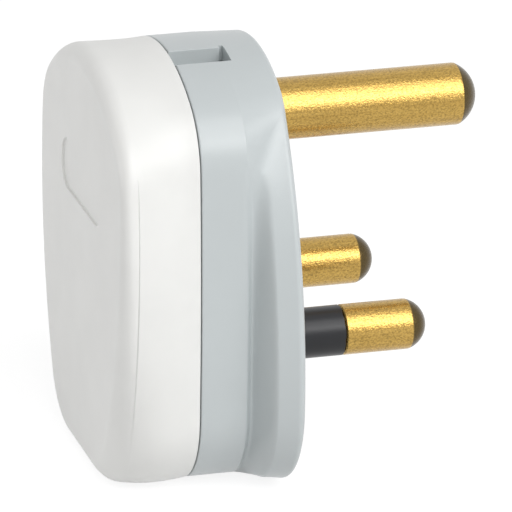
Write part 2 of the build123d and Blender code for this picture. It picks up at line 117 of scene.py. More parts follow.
# Fins of the cover beside the cord
FIN_X, FIN_SIZE = 0.0064, (0.0014, 0.007, 0.012)
# Bosses of the cord grip and of the pin retainer: place, radius, bore, end
CLAMP_X, CLAMP_Z, CLAMP_BOSS, CLAMP_BORE, CLAMP_END = 0.0086, -0.0128, 0.0034, 0.0023, 0.012
RETAINER_X, RETAINER_Z, RETAINER_BOSS, RETAINER_BORE = 0.0055, 0.0176, 0.0028, 0.0013
# Rest under the cord, with a rib across it
REST_WIDTH, REST_END, REST_HEIGHT = 0.0096, 0.0086, 0.006
RIB_DEPTH, RIB_THICK, RIB_HEIGHT = 0.0087, 0.0014, 0.0009

# Pins: wire hole and terminal screw's hole in the tails
WIRE_DEPTH, WIRE_RADIUS = 0.0095, 0.0023
TERMINAL_RADIUS, TERMINAL_OVERRUN = 0.00205, 0.001
# Domed tips: inset and distance behind the edge, and the part of the dome that is turned
DOME_EDGE = ((0, 0.0002), (0.00004, 0.00005))
DOME_START, DOME_END, DOME_STEPS = 0.985, 0.02, 26
# Sleeves' outer edge: inset, distance behind the end
SLEEVE_EDGE = ((0, 0.0004), (0, 0.00012), (0.00008, 0.00003))
# Their uneven end: first row that takes part, size, mean, and waves (strength, number, phase)
SLEEVE_END_ROW, SLEEVE_WAVE, SLEEVE_WAVE_MEAN = 5, 0.00004, 2.2
SLEEVE_WAVES = ((1, 5, 0), (0.7, 11, 1), (0.5, 17, 0))

# Part of the noise's range that is used
NOISE_LOW, NOISE_HIGH = 0.25, 0.75
# Moulded plastic: size of clouds and of gloss patches in skin grains, and play of the gloss
CLOUD_SIZE, PATCH_SIZE, GLOSS_PLAY = 40, 12, 0.02
# Grains in a metre
BRASS_SPECKLE, BRASS_STREAK, BRASS_PITS = 4400, 2600, 2300
METAL_MARKS, METAL_CLOUD = 5000, 900
FIBRE_GRAIN = 3500

# Lamps: name, place, width, height, power
LAMPS = (
    ("key_softbox", (0.62, 0.46, 0.46), 0.62, 0.36, 2.2),
    ("overhead_softbox", (0.66, 0.1, 0.82), 0.8, 0.8, 5.6),
    ("low_fill", (-0.12, -0.3, -0.005), 0.16, 0.16, 0.26),
)
SENSOR_WIDTH, NEAR_CLIP, FAR_CLIP = 36, 0.01, 20
# Floor: corners, and the shade and glow that the eye sees
FLOOR_CORNERS = ((-3, -3), (3, -3), (3, 3), (-3, 3))
FLOOR_SHADE, FLOOR_GLOW = 0.25, 0.86


def length(name, description, default):
    """A length in metres that shows in the sidebar."""
    return FloatProperty(
        name=name, description=description, default=default, unit="LENGTH", precision=5
    )


def lengths(name, description, default):
    """Several lengths in metres that show in the sidebar."""
    return FloatVectorProperty(
        name=name,
        description=description,
        size=len(default),
        default=default,
        unit="LENGTH",
        precision=5,
    )


def outline_sizes(name, default):
    """The six sizes of a body outline."""
    description = "Half width, widest height, side radius, shoulder drop, top and bottom corner"
    return lengths(name, description, default)


def angle(name, description, degrees):
    """An angle that shows in the sidebar."""
    return FloatProperty(
        name=name, description=description, default=math.radians(degrees), subtype="ANGLE"
    )


def colour(name, description, default):
    """A linear colour that shows in the sidebar."""
    return FloatVectorProperty(
        name=name, description=description, subtype="COLOR", size=3, min=0, max=1, default=default
    )


class BodySizes(bpy.types.PropertyGroup):
    """Sizes of the two moulded shells."""

    flange: outline_sizes("Flange outline", (0.02679, -0.005, 0.066, 0.00394, 0.008, 0.0145))
    ridge: outline_sizes("Ridge outline", (0.0253, -0.005, 0.086, 0.00394, 0.008, 0.014))
    wall: outline_sizes("Wall outline", (0.0207, -0.0075, 0.4, 0.007, 0.011, 0.012))
    back: outline_sizes("Back outline", (0.023, 0.0185, 0.08, 0.01021, 0.0105, 0.0107))
    top: length("Top", "Height of the arched top", BASE_BOX[1].z)
    bottom: length("Bottom", "Height of the flat bottom", BASE_BOX[0].z)
    band: length("Band depth", "Depth of the flange band behind the pin face", 0.0036)
    neck: length("Neck depth", "Depth at which the finger grip starts to rise", 0.0061)
    lip: length("Lip depth", "Depth at which the finger grip meets the wall", 0.0069)
    base_rim: length("Base rim", "Depth of the base's rim at the seam", 0.01335)
    cover_rim: length("Cover rim", "Depth of the cover's rim at the seam", -COVER_BOX[1].y)
    back_depth: length("Back depth", "Depth of the back", -COVER_BOX[0].y)
    flange_round: length("Flange round", "Radius of the flange's front edge", 0.0008)
    grip_dip: length("Grip dip", "How far the finger grip lies below the wall", 0.0007)
    grip_top: length("Grip top", "Height at which the finger grip runs out", 0.0285)
    grip_fade: length("Grip fade", "Height over which the finger grip runs out", 0.0085)
    ridge_round: length("Ridge round", "Softening of the ridge low on the side", 0.00012)
    ridge_fade: length("Ridge fade", "Softening of the ridge towards the shoulder", 0.0004)
    back_round: length("Back round", "Radius of the edge of the back", 0.0024)
    rim_round: length("Rim round", "Radius of the rims on both sides of the seam", 0.00022)
    crease: length("Crease", "Step in the cover's side where the rounded edge starts", 0.00022)
    wall_thickness: length("Wall", "Thickness of both shells", 0.0022)
    face_plate: length("Face plate", "Thickness of the plate that holds the pins", 0.0032)
    tongue_inset: length("Tongue inset", "How far the centring tongue lies inside the wall", 0.0012)
    tongue_end: length("Tongue end", "Depth of the tongue's end", 0.01485)
    inlet: length("Cord inlet", "Radius of the cord inlet", 0.005)
    slot_x: length("Slot place", "Middle of the slot in the top", 0.00365)
    slot_width: length("Slot width", "Width of the slot in the top", 0.0039)
    slot_end: length("Slot end", "Depth of the slot's inner end", 0.0055)
    slot_sink: length("Slot sink", "How far the slot's floor lies under the top", 0.003)
    slot_relief: length("Slot relief", "Width of the relief at the slot's inner end", 0.0006)
    label_width: length("Label width", "Width of the bare label recess", 0.0204)
    label_height: length("Label height", "Height of the bare label recess", 0.0073)
    label_z: length("Label place", "Height of the middle of the label recess", 0.0204)
    label_corner: length("Label corner", "Corner radius of the label recess", 0.003)
    label_sink: length("Label sink", "Depth of the label recess", 0.00035)


class PinSizes(bpy.types.PropertyGroup):
    """Sizes of the pins, sleeves and the cover screw."""

    spread: length("Spread", "Distance of the live pins from the middle", 0.0127)
    earth_rise: length("Earth pin height", "Height of the earth pin above the live pins", 0.0286)
    earth_radius: length("Earth radius", "Radius of the earth pin", 0.004355)
    live_radius: length("Live radius", "Radius of the line and neutral pins", 0.00353)
    earth_reach: length("Earth reach", "Reach of the earth pin past the pin face", EARTH_BOX[1].y)
    live_reach: length("Live reach", "Reach of the live pins past the pin face", LINE_BOX[1].y)
    dome: length("Dome", "Height of the domed tips", 0.0028)
    root_step: length("Root step", "How far the roots in the face plate stand out", 0.0004)
    sleeve_reach: length("Sleeve reach", "Reach of the sleeves past the pin face", SLEEVE_BOX[1].y)
    sleeve_wall: length("Sleeve wall", "Thickness of the sleeves", 0.00085)
    earth_tail: length("Earth tail", "Radius of the earth pin's tail", 0.0045)
    live_tail: length("Live tail", "Radius of the live pins' tails", 0.0043)
    tail_end: length("Tail end", "Depth of the ends of the tails", -EARTH_BOX[0].y)
    collar_lip: length("Collar lip", "How far the square collars stand out", 0.0009)
    collar: length("Collar", "Thickness of the square collars", 0.002)
    screw_z: length("Screw height", "Height of the cover screw", 0.011)
    screw_head: length("Screw head", "Radius of the cover screw's head", 0.0037)
    screw_shank: length("Screw shank", "Radius of the cover screw's shank", 0.002)
    screw_front: length("Screw front", "Depth of the head's front", -SCREW_BOX[1].y)
    screw_seat: length("Screw seat", "Depth of the head's underside", 0.0028)
    screw_tip: length("Screw tip", "Depth of the screw's tip", -SCREW_BOX[0].y)
    screw_slot: length("Screw slot", "Width and depth of the screwdriver slot", 0.001)


class FinishColours(bpy.types.PropertyGroup):
    """Colours and grain of the finishes."""

    cover: colour("Cover", "Satin white moulding", (0.82, 0.82, 0.8))
    base: colour("Base", "Light blue grey moulding", (0.53, 0.568, 0.575))
    brass: colour("Brass", "Turned brass", (0.52, 0.335, 0.09))
    # Dark colour of the pits in the brass, also painted onto the forward-facing domed tips as a
    # painted dark reflection
    pit_and_painted_tip_colour: colour("Tarnish", "Dull brass on the domed tips and in the pits", (0.055, 0.042, 0.02))
    sleeve: colour("Sleeve", "Black insulating sleeve", (0.016, 0.0165, 0.019))
    steel: colour("Steel", "Plated screws", (0.6, 0.6, 0.58))
    inner: colour("Inner moulding", "Matt moulding inside", (0.62, 0.63, 0.62))
    fibre: colour("Fibre", "Red fibre washer", (0.35, 0.09, 0.05))
    grain: IntProperty(
        name="Grain", description="Grains of the moulded plastic in a metre", default=5200, min=100
    )


class StageSettings(bpy.types.PropertyGroup):
    """Camera, lamps and floor."""

    azimuth: angle("Azimuth", "Turn of the camera round the plug, seen from above", 73.45)
    elevation: angle("Elevation", "Camera's angle above the horizon", 21.59)
    roll: angle("Roll", "Camera's roll", 0.98)
    distance: length("Distance", "Camera's distance from its target", 1.11484)
    target: length("Target height", "Height that the camera looks at", 0.01)
    pan: lengths("Pan", "Camera's move to the right and up", (0.00017, -0.00285))
    focal_length: FloatProperty(
        name="Focal length", description="Lens in millimetres", default=562.5, min=1
    )
    ambient: FloatProperty(
        name="Ambient", description="Strength of the even light all round", default=0.4, min=0
    )
    floor: colour("Floor", "Plain pale floor", (0.8, 0.8, 0.8))


def arc(centre, radius, start, end, steps):
    """Points on an arc, without the last one."""
    turns = np.linspace(start, end, steps, endpoint=False)
    return np.column_stack(
        (centre[0] + radius * np.cos(turns), centre[1] + radius * np.sin(turns))
    )


def arch_radius(sizes, section):
    """Radius of the arch that runs over the top from shoulder to shoulder."""
    half_width, widest, side, drop = section[:4]
    reach = half_width - side + math.sqrt(side**2 - (sizes.top - drop - widest) ** 2)
    return (reach**2 + drop**2) / (2 * drop)


def outline(sizes, section, inset=0.0):
    """Body outline as points (x, z), clockwise from the middle of the top, moved in by inset."""
    half_width, widest, side, _, top_corner, foot_corner = section
    top_radius = arch_radius(sizes, section) - inset
    half_width, side = half_width - inset, side - inset
    top_corner, foot_corner = top_corner - inset, foot_corner - inset
    top, bottom = sizes.top - inset, sizes.bottom + inset
    side_x = half_width - side
    crown = top - top_radius
    # The top corner's centre is the upper crossing of two circles, inside the side and the top
    rise = crown - widest
    apart = math.hypot(side_x, rise)
    along = ((side - top_corner) ** 2 - (top_radius - top_corner) ** 2 + apart**2) / (2 * apart)
    across = math.sqrt((side - top_corner) ** 2 - along**2)
    corner = (
        side_x - (across * rise + along * side_x) / apart,
        widest + (along * rise - across * side_x) / apart,
    )
    lean = math.atan2(corner[1] - crown, corner[0])
    shoulder = math.atan2(corner[1] - widest, corner[0] - side_x)
    foot_z = bottom + foot_corner
    foot_x = side_x + math.sqrt((side - foot_corner) ** 2 - (foot_z - widest) ** 2)
    foot = math.atan2(foot_z - widest, foot_x - side_x)
    flat = np.column_stack((np.linspace(foot_x, 0, FLAT_STEPS), np.full(FLAT_STEPS, bottom)))
    right = np.concatenate(
        (
            arc((0, crown), top_radius, math.pi / 2, lean, ARCH_STEPS),
            arc(corner, top_corner, lean, shoulder, SHOULDER_STEPS),
            arc((side_x, widest), side, shoulder, foot, SIDE_STEPS),
            arc((foot_x, foot_z), foot_corner, foot, -math.pi / 2, FOOT_STEPS),
            flat,
        )
    )
    left = right[-2:0:-1] * (-1, 1)
    return np.concatenate((right, left))


def quarter_round(radius):
    """Pairs of distances from the two faces that a quarter round joins, from the first face on."""
    turns = np.linspace(0, math.pi / 2, ROUND_STEPS)
    return [(radius * (1 - math.cos(turn)), radius * (1 - math.sin(turn))) for turn in turns]


def blend(first, last, share):
    """Outline sizes a share of the way from the first to the last, in the sides' bow too."""
    sizes = [a + (b - a) * share for a, b in zip(first, last)]
    sizes[2] = 1 / ((1 - share) / first[2] + share / last[2])
    return sizes


def seam_depth(sizes):
    """Depth of the middle of the seam."""
    return (sizes.base_rim + sizes.cover_rim) / 2


def ring(bm, points, depth):
    """Closed row of vertices at a depth behind the pin face, or at a depth for each vertex."""
    depths = np.broadcast_to(depth, len(points))
    return [bm.verts.new((x, -behind, z)) for (x, z), behind in zip(points, depths)]


def skin(bm, rings):
    """Quads along a list of closed rows of the same length."""
    for first, second in zip(rings, rings[1:]):
        for k in range(len(first)):
            bm.faces.new((first[k - 1], first[k], second[k], second[k - 1]))


def solid(bm, rings):
    """Closed solid along a list of closed rows."""
    skin(bm, rings)
    for end in (rings[0], rings[-1]):
        bm.faces.new(end)


def cap(bm, *rings):
    """Flat face inside the first row and outside the others."""
    edges = [bm.edges.get((row[k - 1], row[k])) for row in rings for k in range(len(row))]
    bmesh.ops.triangle_fill(bm, use_beauty=True, edges=edges)


def circle(x, z, radius, steps):
    """Points (x, z) on a circle."""
    return arc((x, z), radius, 0, -2 * math.pi, steps)


def level_ring(bm, x, depth, z, radius, steps):
    """Closed row of vertices on a circle about an upright axis."""
    return [bm.verts.new((*spot, z)) for spot in arc((x, -depth), radius, 0, 2 * math.pi, steps)]


def rounded_rectangle(z, width, height, corner):
    """Points (x, z) on a rectangle with round corners, about the middle plane."""
    runs = []
    for number, (sx, sz) in enumerate(((1, 1), (1, -1), (-1, -1), (-1, 1))):
        centre = (sx * (width / 2 - corner), z + sz * (height / 2 - corner))
        start = math.pi / 2 * (1 - number)
        end = start - math.pi / 2
        runs.append(arc(centre, corner, start, end, CORNER_STEPS))
        runs.append([(centre[0] + corner * math.cos(end), centre[1] + corner * math.sin(end))])
    return np.concatenate(runs)


def turned(bm, profile, x, z, steps):
    """Rows about an axis along Y, from profile points (radius, depth)."""
    return [ring(bm, circle(x, z, radius, steps), depth) for radius, depth in profile]


def to_mesh(bm, name):
    """Mesh of a built solid, with its faces turned outwards."""
    bmesh.ops.recalc_face_normals(bm, faces=bm.faces)
    mesh = bpy.data.meshes.new(name)
    bm.to_mesh(mesh)
    bm.free()
    return mesh


def add_object(name, data):
    """New object in the scene."""
    made = bpy.data.objects.new(name, data)
    bpy.context.scene.collection.objects.link(made)
    return made


def shade_evenly(piece):
    """Smooth shading, in which the large flat faces set the small rounds beside them."""
    piece.data.shade_smooth()
    piece.data.set_sharp_from_angle(angle=SHARP_EDGE)
    step = piece.modifiers.new("Normals", "WEIGHTED_NORMAL")
    step.mode = "FACE_AREA"
    step.weight = 100
    step.keep_sharp = True


def make_piece(bm, name, slot, *nodes):
    """Turn a built mesh into a shaded piece that rides on the plug and stands for CAD nodes."""
    piece = add_object(name, to_mesh(bm, name))
    piece.data.materials.append(finish_named(slot))
    shade_evenly(piece)
    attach(piece, "root")
    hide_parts(*nodes)
    return piece


def cut(piece, bm):
    """Take a built solid out of a piece."""
    cutter = add_object("cutter", to_mesh(bm, "cutter"))
    piece.modifiers.clear()
    step = piece.modifiers.new("Cut", "BOOLEAN")
    step.operation = "DIFFERENCE"
    step.solver = "EXACT"
    step.object = cutter
    done = bpy.data.meshes.new_from_object(
        piece.evaluated_get(bpy.context.evaluated_depsgraph_get())
    )
    piece.modifiers.clear()
    old, piece.data = piece.data, done
    done.name = piece.name
    bpy.data.meshes.remove(old)
    # A mesh takes its object with it
    bpy.data.meshes.remove(cutter.data)
    shade_evenly(piece)


def cover_profile(sizes):
    """Rows (depth, outline sizes, inset) of the cover from its floor over the rim to the back."""
    wall, back = list(sizes.wall), list(sizes.back)
    rim, soft = sizes.cover_rim, sizes.rim_round
    rabbet = sizes.tongue_inset - FIT
    floor = sizes.back_depth - sizes.wall_thickness
    rows = [(floor, wall, sizes.wall_thickness), (sizes.tongue_end, wall, sizes.wall_thickness)]
    rows += [(sizes.tongue_end, wall, rabbet), (rim, wall, rabbet)]
    rows += [(rim + behind, wall, inset) for behind, inset in quarter_round(soft)]
    edge = sizes.back_depth - sizes.back_round
    flat = np.linspace(rim + soft, edge, COVER_SIDE_ROWS)[1:-1]
    rounding = [
        (edge + sizes.back_round * math.sin(turn), sizes.back_round * (1 - math.cos(turn)))
        for turn in np.linspace(0, math.pi / 2, COVER_BACK_ROWS)
    ]
    for depth, inset in [(depth, 0) for depth in flat] + rounding:
        share = (depth - rim) / (sizes.back_depth - rim)
        rows.append((depth, blend(wall, back, share), inset))
    return rows


def crease_share(sizes, depth):
    """Share of the crease's step at a depth: none before the rounded edge, less behind it."""
    behind = (depth - (sizes.back_depth - sizes.back_round)) / sizes.back_round
    return min(1, max(0, behind / CREASE_START)) * max(0, 1 - behind) ** 2


def with_crease(sizes, points, depth):
    """Moves the sides in by the crease, which fades towards the shoulder and the foot."""
    heights = points[:, 1]
    fade = np.clip((CREASE_TOP - heights) / CREASE_TOP_FADE, 0, 1)
    fade = fade * np.clip((heights - CREASE_FOOT) / CREASE_FOOT_FADE, 0, 1)
    moved = points.copy()
    moved[:, 0] -= np.sign(points[:, 0]) * sizes.crease * fade * crease_share(sizes, depth)
    return moved


def outward(points):
    """Unit normals of a closed outline that runs clockwise."""
    along = np.roll(points, -1, axis=0) - np.roll(points, 1, axis=0)
    along /= np.hypot(along[:, 0], along[:, 1])[:, None]
    return np.column_stack((-along[:, 1], along[:, 0]))


def softened(rows, reach):
    """Rows of points averaged over their neighbours, with the first and last row kept."""
    far = 3 * reach
    weights = np.exp(-0.5 * (np.arange(-far, far + 1) / reach) ** 2)
    padded = np.pad(rows, ((far, far), (0, 0), (0, 0)), "reflect", reflect_type="odd")
    return np.tensordot(
        np.lib.stride_tricks.sliding_window_view(padded, len(weights), axis=0),
        weights / weights.sum(),
        (3, 0),
    )


def smooth_step(value):
    """Eased share from 0 to 1."""
    share = np.clip(value, 0, 1)
    return share**2 * (3 - 2 * share)


def grip_rows(sizes):
    """Rows of points (x, depth, z) from the pin face over the flange and the grip to the wall."""
    flange, ridge = outline(sizes, sizes.flange), outline(sizes, sizes.ridge)
    wall = outline(sizes, sizes.wall)
    out, front_out = outward(wall), outward(flange)
    band, neck, lip = sizes.band, sizes.neck, sizes.lip

    def plain(depth):
        return wall + (flange - wall) * (lip - depth) / lip

    def scooped(points, depth):
        return plain(depth) + (points - plain(depth)) * side, depth

    # The ridge leaves the flange and runs out into the wall's edge at the top of the grip
    rise = np.clip((wall[:, 1:] - sizes.grip_top) / sizes.grip_fade + 1, 0, 1) ** 2
    side = smooth_step((np.abs(out[:, :1]) - SIDE_START) / SIDE_RANGE)
    ridge_depth = band + RIDGE_RUN * (lip - band) * rise
    level = plain(ridge_depth)
    lift = np.sum((ridge - level) * out, axis=1, keepdims=True)
    lift = (lift + np.hypot(lift, LIFT_SOFT)) / 2
    run_out = smooth_step((sizes.grip_top + LIFT_OVERRUN - wall[:, 1:]) / LIFT_FADE)
    crest = level + out * lift * side * run_out

    # Round of the front edge, from the pin face to the slanting band
    slope = np.sum((flange - crest) * front_out, axis=1, keepdims=True) / ridge_depth
    slant = np.arctan(slope)
    radius = sizes.flange_round
    front = radius * (1 + np.sin(slant))
    rounding = []
    for share in np.linspace(0, 1, EDGE_ROWS)[:-1]:
        turn = share * (math.pi / 2 + slant)
        depth = radius * (1 - np.cos(turn))
        inset = slope * (radius - depth) + radius / np.cos(slant) - radius * np.sin(turn)
        points = flange + (crest - flange) * depth / ridge_depth - front_out * inset
        rounding.append(np.insert(points, [1], depth, axis=1))

    # Band, scoop, lip and the start of the wall
    rows = []
    for share in np.linspace(0, 1, BAND_ROWS):
        depth = front + (ridge_depth - front) * share
        rows.append((flange + (crest - flange) * depth / ridge_depth, depth))
    low = wall - out * sizes.grip_dip * (1 - rise)
    neck_depth = ridge_depth + (neck - band) * (lip - ridge_depth) / (lip - band)
    for share in np.linspace(0, 1, SCOOP_ROWS)[1:]:
        depth = ridge_depth + (neck_depth - ridge_depth) * share
        onward = (crest - flange) * (neck_depth - ridge_depth) / ridge_depth
        scoop = crest + (low - crest) * smooth_step(share) + onward * share * (1 - share) ** 2
        rows.append(scooped(scoop, depth))
    for share in np.linspace(0, 1, LIP_ROWS)[1:]:
        depth = neck_depth + (lip - neck_depth) * share
        rows.append(scooped(low + (wall - low) * smooth_step(share), depth))
    for depth in np.linspace(lip, lip + SOFT_WALL, WALL_ROWS)[1:]:
        rows.append((wall, np.full_like(rise, depth)))

    # The ridge gets softer towards the shoulder
    table = np.array([np.insert(points, [1], depth, axis=1) for points, depth in rows])
    pitch = np.linalg.norm(np.diff(table, axis=0), axis=2).mean()
    crisp = softened(table, max(1, round(sizes.ridge_round / pitch)))
    soft = softened(table, round(sizes.ridge_fade / pitch))
    fade = smooth_step((wall[:, 1:] - SOFT_START) / SOFT_RANGE)
    return rounding + list(crisp + (soft - crisp) * fade)


def base_rings(sizes):
    """Rows of points (x, depth, z) of the base from the pin face over the rim to the tongue."""
    rings = grip_rows(sizes)
    rim, soft = sizes.base_rim, sizes.rim_round
    plain = np.linspace(sizes.lip + PLAIN_WALL, rim - soft, PLAIN_ROWS)
    rows = [(depth, 0) for depth in plain[:-1]]
    rows += [(rim - before, inset) for inset, before in quarter_round(soft)]
    rows += [(rim, sizes.tongue_inset), (sizes.tongue_end, sizes.tongue_inset)]
    rows += [(sizes.tongue_end, sizes.wall_thickness), (sizes.face_plate, sizes.wall_thickness)]
    for depth, inset in rows:
        rings.append(np.insert(outline(sizes, sizes.wall, inset), 1, depth, axis=1))
    return rings


def block(bm, middle, size):
    """Plain block, with its middle at (x, depth, z)."""
    spot = Matrix.Translation((middle[0], -middle[1], middle[2])) @ Matrix.Diagonal((*size, 1))
    bmesh.ops.create_cube(bm, size=1, matrix=spot)


def tube(bm, x, z, outer, inner, start, end):
    """Plain tube about an axis along Y, between two depths."""
    loop = ((outer, start), (outer, end), (inner, end), (inner, start))
    rings = turned(bm, loop, x, z, BOSS_STEPS)
    skin(bm, rings + rings[:1])


def slot_cutter(sizes):
    """Solid of the slot in the top, with a flared edge that follows the arch."""
    bm = bmesh.new()
    width, start, end = sizes.slot_width, sizes.slot_end, sizes.base_rim + OVERLAP / 2
    crown = arch_radius(sizes, sizes.wall)
    floor = sizes.top - sizes.slot_sink
    rows = []
    for grow, lift in SLOT_WALL:
        low, high = sizes.slot_x - width / 2 - grow, sizes.slot_x + width / 2 + grow
        xs = np.linspace(low, high, SLOT_STEPS)
        depths = np.linspace(start - grow, end, SLOT_STEPS)
        loop = [(x, start - grow) for x in xs[:-1]] + [(high, depth) for depth in depths[:-1]]
        loop += [(x, end) for x in xs[:0:-1]] + [(low, depth) for depth in depths[:0:-1]]
        row = []
        for x, depth in loop:
            arch = sizes.top - crown + math.sqrt(crown**2 - x**2)
            row.append(bm.verts.new((x, -depth, floor if lift is None else arch + lift)))
        rows.append(row)
    solid(bm, rows)
    return bm


def relief_cutter(sizes):
    """Solid of the narrow relief beside the slot's inner end."""
    bm = bmesh.new()
    edge = sizes.slot_x - sizes.slot_width / 2
    width = sizes.slot_relief
    middle = (edge - width / 2 + OVERLAP / 2, sizes.slot_end + width / 2, sizes.top)
    block(bm, middle, (width + OVERLAP, width, 2 * sizes.slot_sink))
    return bm


def inlet_cutter(sizes):
    """Solid of the cord inlet through the bottom, with a flared lip."""
    bm = bmesh.new()
    seam, radius = seam_depth(sizes), sizes.inlet
    levels = [(radius, INLET_IN), (radius, INLET_LIP)]
    levels += [(radius + grow, lift) for grow, lift in quarter_round(INLET_LIP)[1:]]
    levels.append((radius + INLET_FLARE, -INLET_OUT))
    solid(
        bm,
        [level_ring(bm, 0, seam, sizes.bottom + lift, reach, HOLE_STEPS) for reach, lift in levels],
    )
    return bm


def wire_hole_cutters(x, z, tail, end):
    """Solids of the wire hole across a pin's tail and of the screw hole behind it."""
    across, along = bmesh.new(), bmesh.new()
    heights = (z - 2 * tail, z + 2 * tail)
    solid(
        across,
        [level_ring(across, x, WIRE_DEPTH, level, WIRE_RADIUS, DRILL_STEPS) for level in heights],
    )
    profile = [(TERMINAL_RADIUS, depth) for depth in (WIRE_DEPTH, end + TERMINAL_OVERRUN)]
    solid(along, turned(along, profile, x, z, DRILL_STEPS))
    return across, along


def extend(piece, bm):
    """Adds a built solid to a piece."""
    extra = to_mesh(bm, "extra")
    both = bmesh.new()
    both.from_mesh(piece.data)
    both.from_mesh(extra)
    both.to_mesh(piece.data)
    both.free()
    bpy.data.meshes.remove(extra)


def node_maker(tree):
    """Maker of nodes in a tree, with inputs that are set or linked."""

    def node(kind, inputs=None, **settings):
        made = tree.nodes.new(kind)
        for key, value in settings.items():
            setattr(made, key, value)
        for socket, value in (inputs or {}).items():
            if isinstance(value, bpy.types.NodeSocket):
                tree.links.new(value, made.inputs[socket])
            else:
                made.inputs[socket].default_value = value
        return made

    return node


def new_finish(name):
    """Node material with its shader, a maker of nodes, and a linker of sockets to the shader."""
    finish = bpy.data.materials.new(name)
    finish.use_nodes = True
    tree = finish.node_tree
    shader = tree.nodes["Principled BSDF"]

    def link(source, target):
        tree.links.new(source, shader.inputs[target])

    return finish, shader, node_maker(tree), link


def grain_at(node, scale, stretch=(1, 1, 1), detail=2.0, roughness=0.5):
    """Noise in the piece's own coordinates, in grains a metre, stretched where wished."""
    place = node("ShaderNodeTexCoord").outputs["Object"]
    spread = node("ShaderNodeMapping", {"Vector": place, "Scale": stretch})
    inputs = {"Vector": spread.outputs[0], "Scale": scale, "Detail": detail, "Roughness": roughness}
    return node("ShaderNodeTexNoise", inputs).outputs["Fac"]


def ramp(node, value, *stops):
    """Colour ramp with stops (place, colour)."""
    made = node("ShaderNodeValToRGB", {"Fac": value})
    elements = made.color_ramp.elements
    while len(elements) < len(stops):
        elements.new(0.5)
    for element, (place, shade) in zip(elements, stops):
        element.position = place
        element.color = (*shade, 1)
    return made.outputs["Color"]


def span(node, value, low, high):
    """Noise brought to the range from low to high."""
    inputs = {"Value": value, "From Min": NOISE_LOW, "From Max": NOISE_HIGH}
    inputs |= {"To Min": low, "To Max": high}
    return node("ShaderNodeMapRange", inputs, clamp=False).outputs["Result"]


def bumped(node, height, strength, distance):
    """Normal of a surface with a bump."""
    inputs = {"Height": height, "Strength": strength, "Distance": distance}
    return node("ShaderNodeBump", inputs).outputs[0]


def tint(shade, factor):
    """A colour made darker or lighter."""
    return tuple(min(1, channel * factor) for channel in shade)


def moulded_plastic(name, shade, gloss, grain, depth, shine=0.5):
    """Moulded plastic: faint mottling, gloss that varies a little, and a fine skin grain."""
    finish, shader, node, link = new_finish(name)
    cloud = grain_at(node, grain / CLOUD_SIZE, detail=4)
    link(ramp(node, cloud, (0.3, tint(shade, 0.975)), (0.7, tint(shade, 1.01))), "Base Color")
    patches = grain_at(node, grain / PATCH_SIZE)
    link(span(node, patches, gloss - GLOSS_PLAY, gloss + GLOSS_PLAY), "Roughness")
    link(bumped(node, grain_at(node, grain, detail=3), 0.35, depth), "Normal")
    shader.inputs["Specular IOR Level"].default_value = shine
    return finish


def mix(node, share, first, second, kind="MIX"):
    """Colour between two colours, by a share."""
    made = node(
        "ShaderNodeMix", {0: share, 6: first, 7: second}, data_type="RGBA", blend_type=kind
    )
    return made.outputs[2]


def turned_brass(name, shade, pit_and_painted_tip_shade):
    """Turned brass: speckled grain, lengthwise streaks, dark pits, a painted dark reflection on the
    domed tips, and a thin lacquer.
    """
    finish, shader, node, link = new_finish(name)
    speckle = grain_at(node, BRASS_SPECKLE, (1, 0.7, 1), detail=2, roughness=0.6)
    streak = grain_at(node, BRASS_STREAK, (1, 0.03, 1))
    pits = grain_at(node, BRASS_PITS, (1, 0.6, 1), detail=4, roughness=0.7)
    body = ramp(
        node, speckle, (0.36, tint(shade, 0.68)), (0.5, tint(shade, 0.98)), (0.64, tint(shade, 1.15))
    )
    lines = ramp(node, streak, (0.3, (0.86, 0.84, 0.8)), (0.6, (1, 1, 1)))
    specks = ramp(node, pits, (0.29, (0.75,) * 3), (0.34, (0, 0, 0)))
    pitted = mix(node, specks, mix(node, 1.0, body, lines, "MULTIPLY"), (*pit_and_painted_tip_shade, 1))
    # Domed tips that face forwards get the dark colour: a painted dark reflection, not tarnish
    facing = node("ShaderNodeSeparateXYZ", {0: node("ShaderNodeTexCoord").outputs["Normal"]})
    tip = ramp(node, facing.outputs["Y"], (0.2, (0, 0, 0)), (0.34, (0.9,) * 3), (1, (0.9,) * 3))
    link(mix(node, tip, pitted, (*pit_and_painted_tip_shade, 1)), "Base Color")
    link(span(node, speckle, 0.3, 0.2), "Roughness")
    link(bumped(node, speckle, 1, 0.00005), "Normal")
    shader.inputs["Metallic"].default_value = 1
    shader.inputs["Coat Weight"].default_value = 0.15
    shader.inputs["Coat Roughness"].default_value = 0.15
    return finish


def plated_metal(name, shade, gloss):
    """Bright metal of screws and inserts: turning marks and a faint cloud."""
    finish, shader, node, link = new_finish(name)
    marks = grain_at(node, METAL_MARKS, (1, 0.2, 1), detail=3)
    link(ramp(node, marks, (0.3, tint(shade, 0.85)), (0.7, tint(shade, 1.05))), "Base Color")
    link(span(node, grain_at(node, METAL_CLOUD), gloss - 0.06, gloss + 0.08), "Roughness")
    link(bumped(node, marks, 0.2, 0.00002), "Normal")
    shader.inputs["Metallic"].default_value = 1
    return finish


def pressed_fibre(name, shade):
    """Pressed fibre: short crossing fibres, dry and matt."""
    finish, shader, node, link = new_finish(name)
    fibres = grain_at(node, FIBRE_GRAIN, (1, 1, 0.15), detail=4)
    link(ramp(node, fibres, (0.3, tint(shade, 0.7)), (0.7, tint(shade, 1.25))), "Base Color")
    link(bumped(node, fibres, 0.5, 0.00004), "Normal")
    shader.inputs["Roughness"].default_value = 0.85
    return finish


